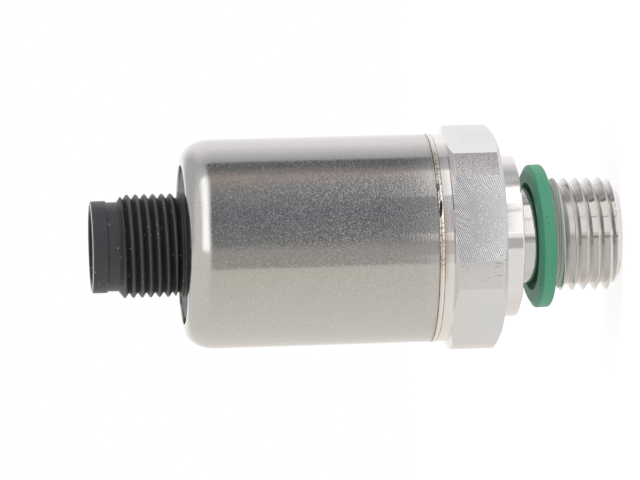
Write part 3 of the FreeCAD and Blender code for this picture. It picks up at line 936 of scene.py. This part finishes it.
def remove(made):
    """Removes an object and its mesh."""
    data = made.data
    bpy.data.objects.remove(made)
    bpy.data.meshes.remove(data)


def place_piece(made, slot_name, *nodes):
    """Rides on the part's one body and hides the CAD nodes that it stands for; the slot's name is
    not used.
    """
    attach(made, BODY)
    if nodes:
        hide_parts(*nodes)


# ---- operators

class TRANSMITTER_OT_port(bpy.types.Operator):
    """Build the threaded, turned and milled process port"""

    bl_idname = "transmitter.port"
    bl_label = "Process Port"

    def execute(self, context):
        p = settings("port")
        neck, neck_end = p.neck_radius / MM, -p.neck_length / MM
        bore, spigot = p.bore_radius / MM, p.spigot_radius / MM
        collar, collar_top = p.collar_radius / MM, p.collar_height / MM
        corner, hex_top = p.corner_radius / MM, p.hexagon_top / MM
        flat = p.spanner_width / MM / 2
        pilot = spigot - PILOT_STEP
        tip_top = STUD_END + 0.4
        mesh = bmesh.new()
        turn_outline(mesh, [
            (STUD_TIP, tip_top), (STUD_TIP - 0.1, tip_top - 0.12),
            (STUD_TIP - 0.4, STUD_END + 0.03), (STUD_TIP - 0.5, STUD_END),
            (bore + 0.25, STUD_END), (bore, STUD_END + 0.25), (bore, CELL_FLOOR),
            (CELL_RADIUS, CELL_FLOOR), (CELL_RADIUS, PILOT_TOP), (pilot, PILOT_TOP),
            (pilot, BEAD_FOOT), (spigot - 0.06, BEAD_FOOT), (spigot, BEAD_FOOT - 0.06),
            (spigot, hex_top),
            (corner - 0.03, hex_top - 0.345), (corner, hex_top - 0.40),
            (corner, collar_top + 0.65), (corner - 0.03, collar_top + 0.58),
            (flat - 0.1, collar_top), (collar, collar_top), (collar, 0.2), (collar - 0.06, 0.06),
            (collar - 0.2, 0.0), (neck + 0.25, 0.0), (neck + 0.08, -0.08), (neck, -0.25),
            (neck, neck_end),
        ], closed=False)
        thread = grown(
            "stud_thread", thread_tree(), Crest=p.thread_radius, Root=p.thread_root,
            Pitch=p.thread_pitch, Bottom=tip_top * MM, Top=neck_end * MM,
            Bottom_Radius=STUD_TIP * MM, Top_Radius=neck * MM, Bottom_Slope=1.6, Top_Slope=8.0,
            Crest_Flat=0.05, Root_Flat=0.06, Rounding=0.13, Phase=PORT_PHASE,
        )
        add_mesh(mesh, thread)
        port = finish_mesh(mesh, "port", turned_steel(), milled_steel())
        width, depth = 12.0, 3.0
        low, high = collar_top - 1.0, hex_top + 0.5
        cutters = blocks("flat_cutters", [
            ((0.0, -(flat + depth / 2), (low + high) / 2), (width, depth, high - low),
             number * math.pi / 3)
            for number in range(6)
        ])
        boolean(port, cutters, "DIFFERENCE")
        self.mark_flats(port, flat)
        shade(port.data)
        place_piece(port, "port_steel", "process_port")
        return {"FINISHED"}

    def mark_flats(self, port, flat):
        """Gives the six milled faces their own finish: upright, and at the flats' distance."""
        for face in port.data.polygons:
            if abs(face.normal.z) > 0.01:
                continue
            reach = face.center.dot(face.normal) / MM
            turn = math.degrees(math.atan2(face.normal.y, face.normal.x))
            off = abs(turn % 60.0 - 30.0)
            if abs(reach - flat) < 0.002 and off < 0.05:
                face.material_index = 1


class TRANSMITTER_OT_shell(bpy.types.Operator):
    """Build the drawn and polished housing"""

    bl_idname = "transmitter.shell"
    bl_label = "Housing Shell"

    def execute(self, context):
        s = settings("shell")
        outer, wall = s.radius / MM, s.wall / MM
        roll = s.rim_radius / MM
        mid = outer - roll
        opening = mid - s.rim_land / MM
        mesh = bmesh.new()
        outline = [
            (outer - wall, SHELL_FOOT), (outer - 0.05, SHELL_FOOT), (outer, SHELL_FOOT + 0.05),
        ]
        outline += soft_roll(mid, CROWN, roll, 3.6, 2.25, 28)
        outline += [(opening + 0.01, CROWN), (opening, CROWN - 0.06), (opening, CROWN - wall)]
        outline += arc(mid, CROWN - roll, roll - wall, 90.0, 0.0, 16)
        turn_outline(mesh, outline, closed=True)
        shell = finish_mesh(mesh, "shell", polished_shell())
        place_piece(shell, "shell_steel", "housing_shell")
        return {"FINISHED"}


class TRANSMITTER_OT_weld(bpy.types.Operator):
    """Build the rippled weld bead between port and housing"""

    bl_idname = "transmitter.weld"
    bl_label = "Weld Bead"

    def execute(self, context):
        s = settings("shell")
        outer, inner = s.radius, s.radius - PILOT_STEP * MM
        bead = grown(
            "bead_skin", bead_tree(), Radius=outer, Bulge=s.bead_bulge,
            Bottom=BEAD_FOOT * MM, Top=SHELL_FOOT * MM, Ripples=s.bead_ripples,
        )
        mesh = bmesh.new()
        add_mesh(mesh, bead)
        ends = [[], []]
        for edge in [e for e in mesh.edges if e.is_boundary]:
            ends[edge.verts[0].co.z > (BEAD_FOOT + SHELL_FOOT) / 2 * MM].append(edge)
        rims = []
        for edges in ends:
            made = bmesh.ops.extrude_edge_only(mesh, edges=edges)["geom"]
            verts = [v for v in made if isinstance(v, bmesh.types.BMVert)]
            for vert in verts:
                scale = inner / math.hypot(vert.co.x, vert.co.y)
                vert.co.x *= scale
                vert.co.y *= scale
            rims += [e for e in made if isinstance(e, bmesh.types.BMEdge)]
        bmesh.ops.bridge_loops(mesh, edges=rims)
        weld = finish_mesh(mesh, "weld", welded_steel())
        place_piece(weld, "weld_steel", "weld_bead")
        return {"FINISHED"}


class TRANSMITTER_OT_plug(bpy.types.Operator):
    """Build the moulded plug with its thread, nose and keyed socket"""

    bl_idname = "transmitter.plug"
    bl_label = "Moulded Plug"

    def execute(self, context):
        p, s = settings("plug"), settings("shell")
        core, nose = p.core_radius / MM, p.nose_radius / MM
        boss, socket = p.boss_radius / MM, p.socket_radius / MM
        inner = s.radius / MM - s.wall / MM
        flange = inner - 0.05
        opening = (s.radius - s.rim_radius - s.rim_land) / MM
        disc = opening - 0.55
        shoulder = CROWN - s.wall / MM
        face = CROWN - 0.2
        boss_top = face + 0.6
        thread_low = boss_top + 0.25
        thread_top = thread_low + 6.7
        nose_low = thread_top + 1.4
        floor = NOSE_TOP - p.socket_depth / MM
        # The seal's groove in the flange, and the hollow for the contact board.
        groove = inner - 1.3
        seal_low, seal_high = FLANGE_FOOT + 1.1, FLANGE_FOOT + 2.9
        hollow, hollow_top = groove - 0.95, FLANGE_FOOT + 3.2
        bend = s.rim_radius / MM - s.wall / MM - 0.05
        mesh = bmesh.new()
        turn_outline(mesh, [
            (core + 0.25, thread_low - 0.02), (boss - 0.35, boss_top),
            *arc(boss - 0.25, boss_top - 0.25, 0.25, 90.0, 0.0, 5),
            *arc(boss + 0.3, face + 0.3, 0.3, 180.0, 270.0, 6),
            *arc(disc - 0.12, face - 0.12, 0.12, 90.0, 0.0, 4), (disc, shoulder),
            *arc(flange - bend, shoulder - bend, bend, 90.0, 0.0, 8),
            (flange, seal_high), (groove, seal_high), (groove, seal_low), (flange, seal_low),
            (flange, FLANGE_FOOT), (hollow, FLANGE_FOOT), (hollow, hollow_top), (0.0, hollow_top),
        ], closed=False)
        turn_outline(mesh, [
            (core, thread_top + 0.1), (core, nose_low - 0.08), (core + 0.05, nose_low - 0.02),
            (nose - 0.05, nose_low), (nose, nose_low + 0.05), (nose, NOSE_TOP - 0.35),
            *arc(nose - 0.3, NOSE_TOP - 0.3, 0.3, 15.0, 80.0, 5), (socket + 0.12, NOSE_TOP),
            (socket, NOSE_TOP - 0.12), (socket, floor), (0.0, floor),
        ], closed=False)
        thread = grown(
            "plug_thread", thread_tree(), Crest=p.thread_radius, Root=p.thread_root,
            Pitch=p.thread_pitch, Bottom=(thread_low - 0.02) * MM, Top=(thread_top + 0.1) * MM,
            Bottom_Radius=(core + 0.25) * MM, Top_Radius=core * MM, Bottom_Slope=2.2,
            Top_Slope=1.5, Crest_Flat=0.14, Root_Flat=0.0, Rounding=0.34, Phase=PLUG_PHASE,
        )
        add_mesh(mesh, thread)
        plug = finish_mesh(mesh, "plug", plug_plastic())
        key_reach, key_width, key_top = 0.7, 1.5, NOSE_TOP - 0.9
        key = blocks("coding_key", [(
            (-((socket + core) / 2 + socket - key_reach) / 2, 0.0, (floor + key_top) / 2),
            ((core - socket) / 2 + key_reach, key_width, key_top - floor), 0.0,
        )])
        boolean(plug, key, "UNION")
        shade(plug.data)
        place_piece(plug, "plug_black", "connector_body")
        return {"FINISHED"}


class TRANSMITTER_OT_ring(bpy.types.Operator):
    """Build the loose green profile ring"""

    bl_idname = "transmitter.ring"
    bl_label = "Profile Ring"

    def execute(self, context):
        r = settings("ring")
        inner, outer = r.inner_radius / MM, r.outer_radius / MM
        half, lift = r.width / MM / 2, r.bevel_height / MM
        bend, inner_bend = 0.2, 0.1
        outline = [
            *arc(inner + inner_bend, -half + inner_bend, inner_bend, 180.0, 270.0, 3),
            *arc(outer - bend, -half + bend, bend, -90.0, 0.0, 6),
            *arc(outer - bend, half - bend, bend, 0.0, 70.0, 6),
            (r.bevel_radius / MM, half + lift),
            *arc(inner + inner_bend, half + lift - inner_bend, inner_bend, 90.0, 180.0, 3),
        ]
        mesh = bmesh.new()
        turn_outline(mesh, outline, closed=True)
        tilt = Matrix.Rotation(r.tilt_side, 4, "Y") @ Matrix.Rotation(r.tilt_forward, 4, "X")
        mesh.transform(Matrix.Translation((-r.shift, 0.0, -r.drop)) @ tilt)
        ring = finish_mesh(mesh, "seal_ring", ring_rubber())
        place_piece(ring, "ring_green", "sealing_ring")
        return {"FINISHED"}


class TRANSMITTER_OT_inside(bpy.types.Operator):
    """Finish the pins, the boards and the other pieces kept from the frame"""

    bl_idname = "transmitter.inside"
    bl_label = "Pins and Inner Pieces"

    def execute(self, context):
        finishes = {key: plain(*given) for key, given in INNER_FINISHES.items()}
        for name in ("current_driver", "protection_diode"):
            finishes[name] = finishes["signal_processor"]
        laminate = board_laminate()
        for name in ("cell_board", "main_board", "contact_board"):
            finishes[name] = laminate
        for name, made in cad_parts.items():
            if made.hide_render:
                continue
            finish = next(f for key, f in finishes.items() if name.startswith(key))
            made.data.materials.clear()
            made.data.materials.append(finish)
        return {"FINISHED"}


class TRANSMITTER_OT_stage(bpy.types.Operator):
    """Set the camera, the studio's light and the pale floor"""

    bl_idname = "transmitter.stage"
    bl_label = "Stage"

    def execute(self, context):
        s = settings("stage")
        scene = context.scene
        scene.view_settings.view_transform = "Standard"
        turn, rise = s.azimuth, s.elevation
        back = Vector((
            math.sin(turn) * math.cos(rise), -math.cos(turn) * math.cos(rise), math.sin(rise)
        ))
        side = Vector((math.cos(turn), math.sin(turn), 0.0))
        right = (-back).cross(side)
        tilted_right = right * math.cos(s.roll) - side * math.sin(s.roll)
        tilted_up = side * math.cos(s.roll) + right * math.sin(s.roll)
        camera = bpy.data.objects.new("camera", bpy.data.cameras.new("camera"))
        scene.collection.objects.link(camera)
        camera.data.lens = s.lens
        camera.data.sensor_width = 36.0
        camera.data.clip_start = 0.01
        camera.data.clip_end = 20.0
        aim = Vector((0.0, 0.0, s.aim_height)) + side * s.aim_shift
        turned = Matrix((tilted_right, tilted_up, back)).transposed().to_4x4()
        camera.matrix_world = Matrix.Translation(aim + back * s.distance) @ turned
        scene.camera = camera
        studio_world(scene)
        self.add_screen(s)
        self.add_floor(scene, s)
        self.add_lamps(scene, side, back)
        return {"FINISHED"}

    def add_floor(self, scene, s):
        """A round pale floor under the stud's end."""
        mesh = bmesh.new()
        bmesh.ops.create_circle(mesh, cap_ends=True, segments=96, radius=s.floor_radius)
        mesh.transform(Matrix.Translation((0.0, 0.0, STUD_END * MM - 0.02 * MM)))
        floor = finish_mesh(mesh, "floor", pale_floor())
        floor.visible_glossy = False

    def add_screen(self, s):
        """A tall round screen that only shining surfaces see."""
        mesh = bmesh.new()
        far = s.screen_radius / MM
        outline = [(far, SCREEN_BOTTOM), (far, SCREEN_TOP), (0.0, SCREEN_TOP)]
        turn_outline(mesh, outline, closed=False)
        screen = finish_mesh(mesh, "screen", screen_light())
        for way in ("camera", "diffuse", "transmission", "volume_scatter", "shadow"):
            setattr(screen, f"visible_{way}", False)

    def add_lamps(self, scene, side, back):
        """Soft lamps, one over each side of the part."""
        for name, way, size, power in (
            ("lamp_up", side * 1.0 + back * 0.5, 0.35, 2.2),
            ("lamp_down", side * -1.0 + back * 0.45, 0.35, 1.6),
        ):
            lamp = bpy.data.objects.new(name, bpy.data.lights.new(name, "AREA"))
            lamp.data.size = size
            lamp.data.energy = power
            lamp.visible_glossy = False
            lamp.location = way.normalized() * LAMP_REACH + Vector((0.0, 0.0, LAMP_LIFT))
            lamp.rotation_euler = way.to_track_quat("Z", "Y").to_euler()
            scene.collection.objects.link(lamp)


def studio_world(scene):
    """White surroundings, for the camera and in what shines."""
    world = bpy.data.worlds.new("studio")
    scene.world = world
    world.use_nodes = True
    tree = world.node_tree
    tree.nodes.clear()
    rays = tree.nodes.new("ShaderNodeLightPath")
    seen = [Wire(tree, rays.outputs[name]) for name in
            ("Is Camera Ray", "Is Glossy Ray", "Is Transmission Ray")]
    white = seen[0].most(seen[1]).most(seen[2])
    tone = mix(white, (0.62, 0.62, 0.63), (1.0, 1.0, 1.0))
    glow(tree, tone, "ShaderNodeBackground", "ShaderNodeOutputWorld")


def glow(tree, tone, kind, end):
    """Ends a tree in one shader that gives off a colour."""
    light = node(tree, kind, None, {"Color": tone})
    tree.links.new(light.socket, tree.nodes.new(end).inputs[0])


def screen_light():
    """The studio's screen: pale sides, a dark gap in front and a soft box above it."""
    made = bpy.data.materials.new("screen_light")
    made.use_nodes = True
    tree = made.node_tree
    tree.nodes.clear()
    x, y, z = object_point(tree)
    turn = turn_round(x, y, math.degrees(settings("stage").azimuth))
    place = (turn / 360.0 + 0.5).fraction()
    sides = node(tree, "ShaderNodeValToRGB", {"stops": screen_stops(SIDE_TONES)}, {"Fac": place})
    dark = node(tree, "ShaderNodeValToRGB", {"stops": screen_stops(GAP_TONES)}, {"Fac": place})
    # The gap ends, and the soft box starts, on a line that falls with the turn past 25 degrees.
    reach = z + (turn - 25.0).clamp(0.0, 45.0) * 1.4
    below = 1.0 - z.step(-58.0, -54.0)
    upper = mix(turn.step(75.0, 110.0), screen_tone(188, 184, 178), screen_tone(160, 160, 160))
    low = below * (1.0 - turn.step(-20.0, 0.0)) * turn.step(-120.0, -80.0)
    high = below * turn.band(4.0, 77.5, 2.0)
    far = z + turn.clamp(0.0, 75.0) * 3.0
    box = reach.step(205.0, 290.0) * (1.0 - far.step(440.0, 720.0)) * turn.band(-5.0, 80.0, 6.0)
    tone = layers(
        sides,
        (z.step(120.0, 330.0), upper),
        (low * 0.7, screen_tone(202, 201, 200)),
        (high, screen_tone(240, 236, 233)),
        (box, screen_tone(252, 252, 250)),
        (screen_gap(turn, z, reach), dark),
    )
    glow(tree, tone, "ShaderNodeEmission", "ShaderNodeOutputMaterial")
    return made


def screen_gap(turn, z, reach):
    """1 where the screen is dark: the gap in front of the part, and the marks below it."""
    foot = z.step(-57.0, -50.0) * 0.3 + z.step(-56.5, -54.5) * 0.7
    head = 1.0 - reach.step(150.0, 240.0)
    gap = foot * head * turn.step(-29.0, -27.5) * (1.0 - turn.step(98.0, 101.0))
    # Leaning seams, which cross the stud's thread as thin lines.
    lean = turn + (z.most(-78.0) + 75.0) * 0.85
    seams = lean.band(-13.0, -9.0, 1.5) + lean.band(77.0, 83.0, 2.0)
    seams = seams * (1.0 - z.step(-70.0, -64.0))
    seams = seams.most(lean.band(37.0, 38.6, 0.8) * (1.0 - z.step(-60.0, -57.0)) * 0.8)
    # A wedge that the neck and the collar show, and a strip for the hexagon's front flat.
    wedge = turn.band(-18.0, -4.0, 1.0) * z.step(-84.0, -76.0) * (1.0 - z.step(-57.0, -55.0))
    strip = z.band(-69.0, -57.7, 0.6) * turn.band(6.0, 45.0, 3.0)
    return gap.most((seams * 0.9).most(wedge * 0.65)).most(strip * 0.95)


def screen_tone(*tone):
    """The light that polished steel shows as a screen value of 0 to 255."""
    return tuple(c / POLISHED for c in linear(*tone))


def screen_stops(tones):
    """Ramp stops round the screen from (degrees, red, green, blue)."""
    return [(turn / 360.0 + 0.5, screen_tone(*tone)) for turn, *tone in tones]


def pale_floor():
    """Pale floor that glows a little for the camera and keeps the part's shadow."""

    def build(tree):
        x, y, z = object_point(tree)
        grain = noise(vector(x, y, z), 0.05, 2.0, 0.5, 81.0)
        camera_ray = node(tree, "ShaderNodeLightPath")
        return {
            "Base Color": mix(grain, (0.80, 0.80, 0.80), (0.84, 0.84, 0.84)),
            "Emission Color": mix(camera_ray, (0.0, 0.0, 0.0), (0.45, 0.45, 0.45)),
        }

    return surface("pale_floor", build, Roughness=0.8, Emission_Strength=1.0)


STEPS_IN_ORDER = (
    TRANSMITTER_OT_port,
    TRANSMITTER_OT_shell,
    TRANSMITTER_OT_weld,
    TRANSMITTER_OT_plug,
    TRANSMITTER_OT_ring,
    TRANSMITTER_OT_inside,
    TRANSMITTER_OT_stage,
)


class TRANSMITTER_PT_panel(bpy.types.Panel):
    """Lists the transmitter's steps and settings"""

    bl_label = "Pressure Transmitter"
    bl_idname = "TRANSMITTER_PT_panel"
    bl_space_type = "VIEW_3D"
    bl_region_type = "UI"
    bl_category = "Transmitter"

    def draw(self, context):
        for step in STEPS_IN_ORDER:
            self.layout.operator(step.bl_idname)
        for group, kind in GROUPS.items():
            box = self.layout.box()
            box.label(text=group.capitalize())
            for name in kind.__annotations__:
                box.prop(settings(group), name)


CLASSES = (*GROUPS.values(), *STEPS_IN_ORDER, TRANSMITTER_PT_panel)


def register():
    """Registers the classes and hangs the settings on the scene."""
    for made in CLASSES:
        bpy.utils.register_class(made)
    for group, kind in GROUPS.items():
        setattr(bpy.types.Scene, f"transmitter_{group}", PointerProperty(type=kind))


def unregister():
    """Removes the settings and the classes."""
    for group in GROUPS:
        delattr(bpy.types.Scene, f"transmitter_{group}")
    for made in reversed(CLASSES):
        bpy.utils.unregister_class(made)


def main():
    """Builds the dressed transmitter and its stage."""
    register()
    bpy.ops.transmitter.port()
    bpy.ops.transmitter.shell()
    bpy.ops.transmitter.weld()
    bpy.ops.transmitter.plug()
    bpy.ops.transmitter.ring()
    bpy.ops.transmitter.inside()
    bpy.ops.transmitter.stage()


if __name__ == "__main__":
    main()
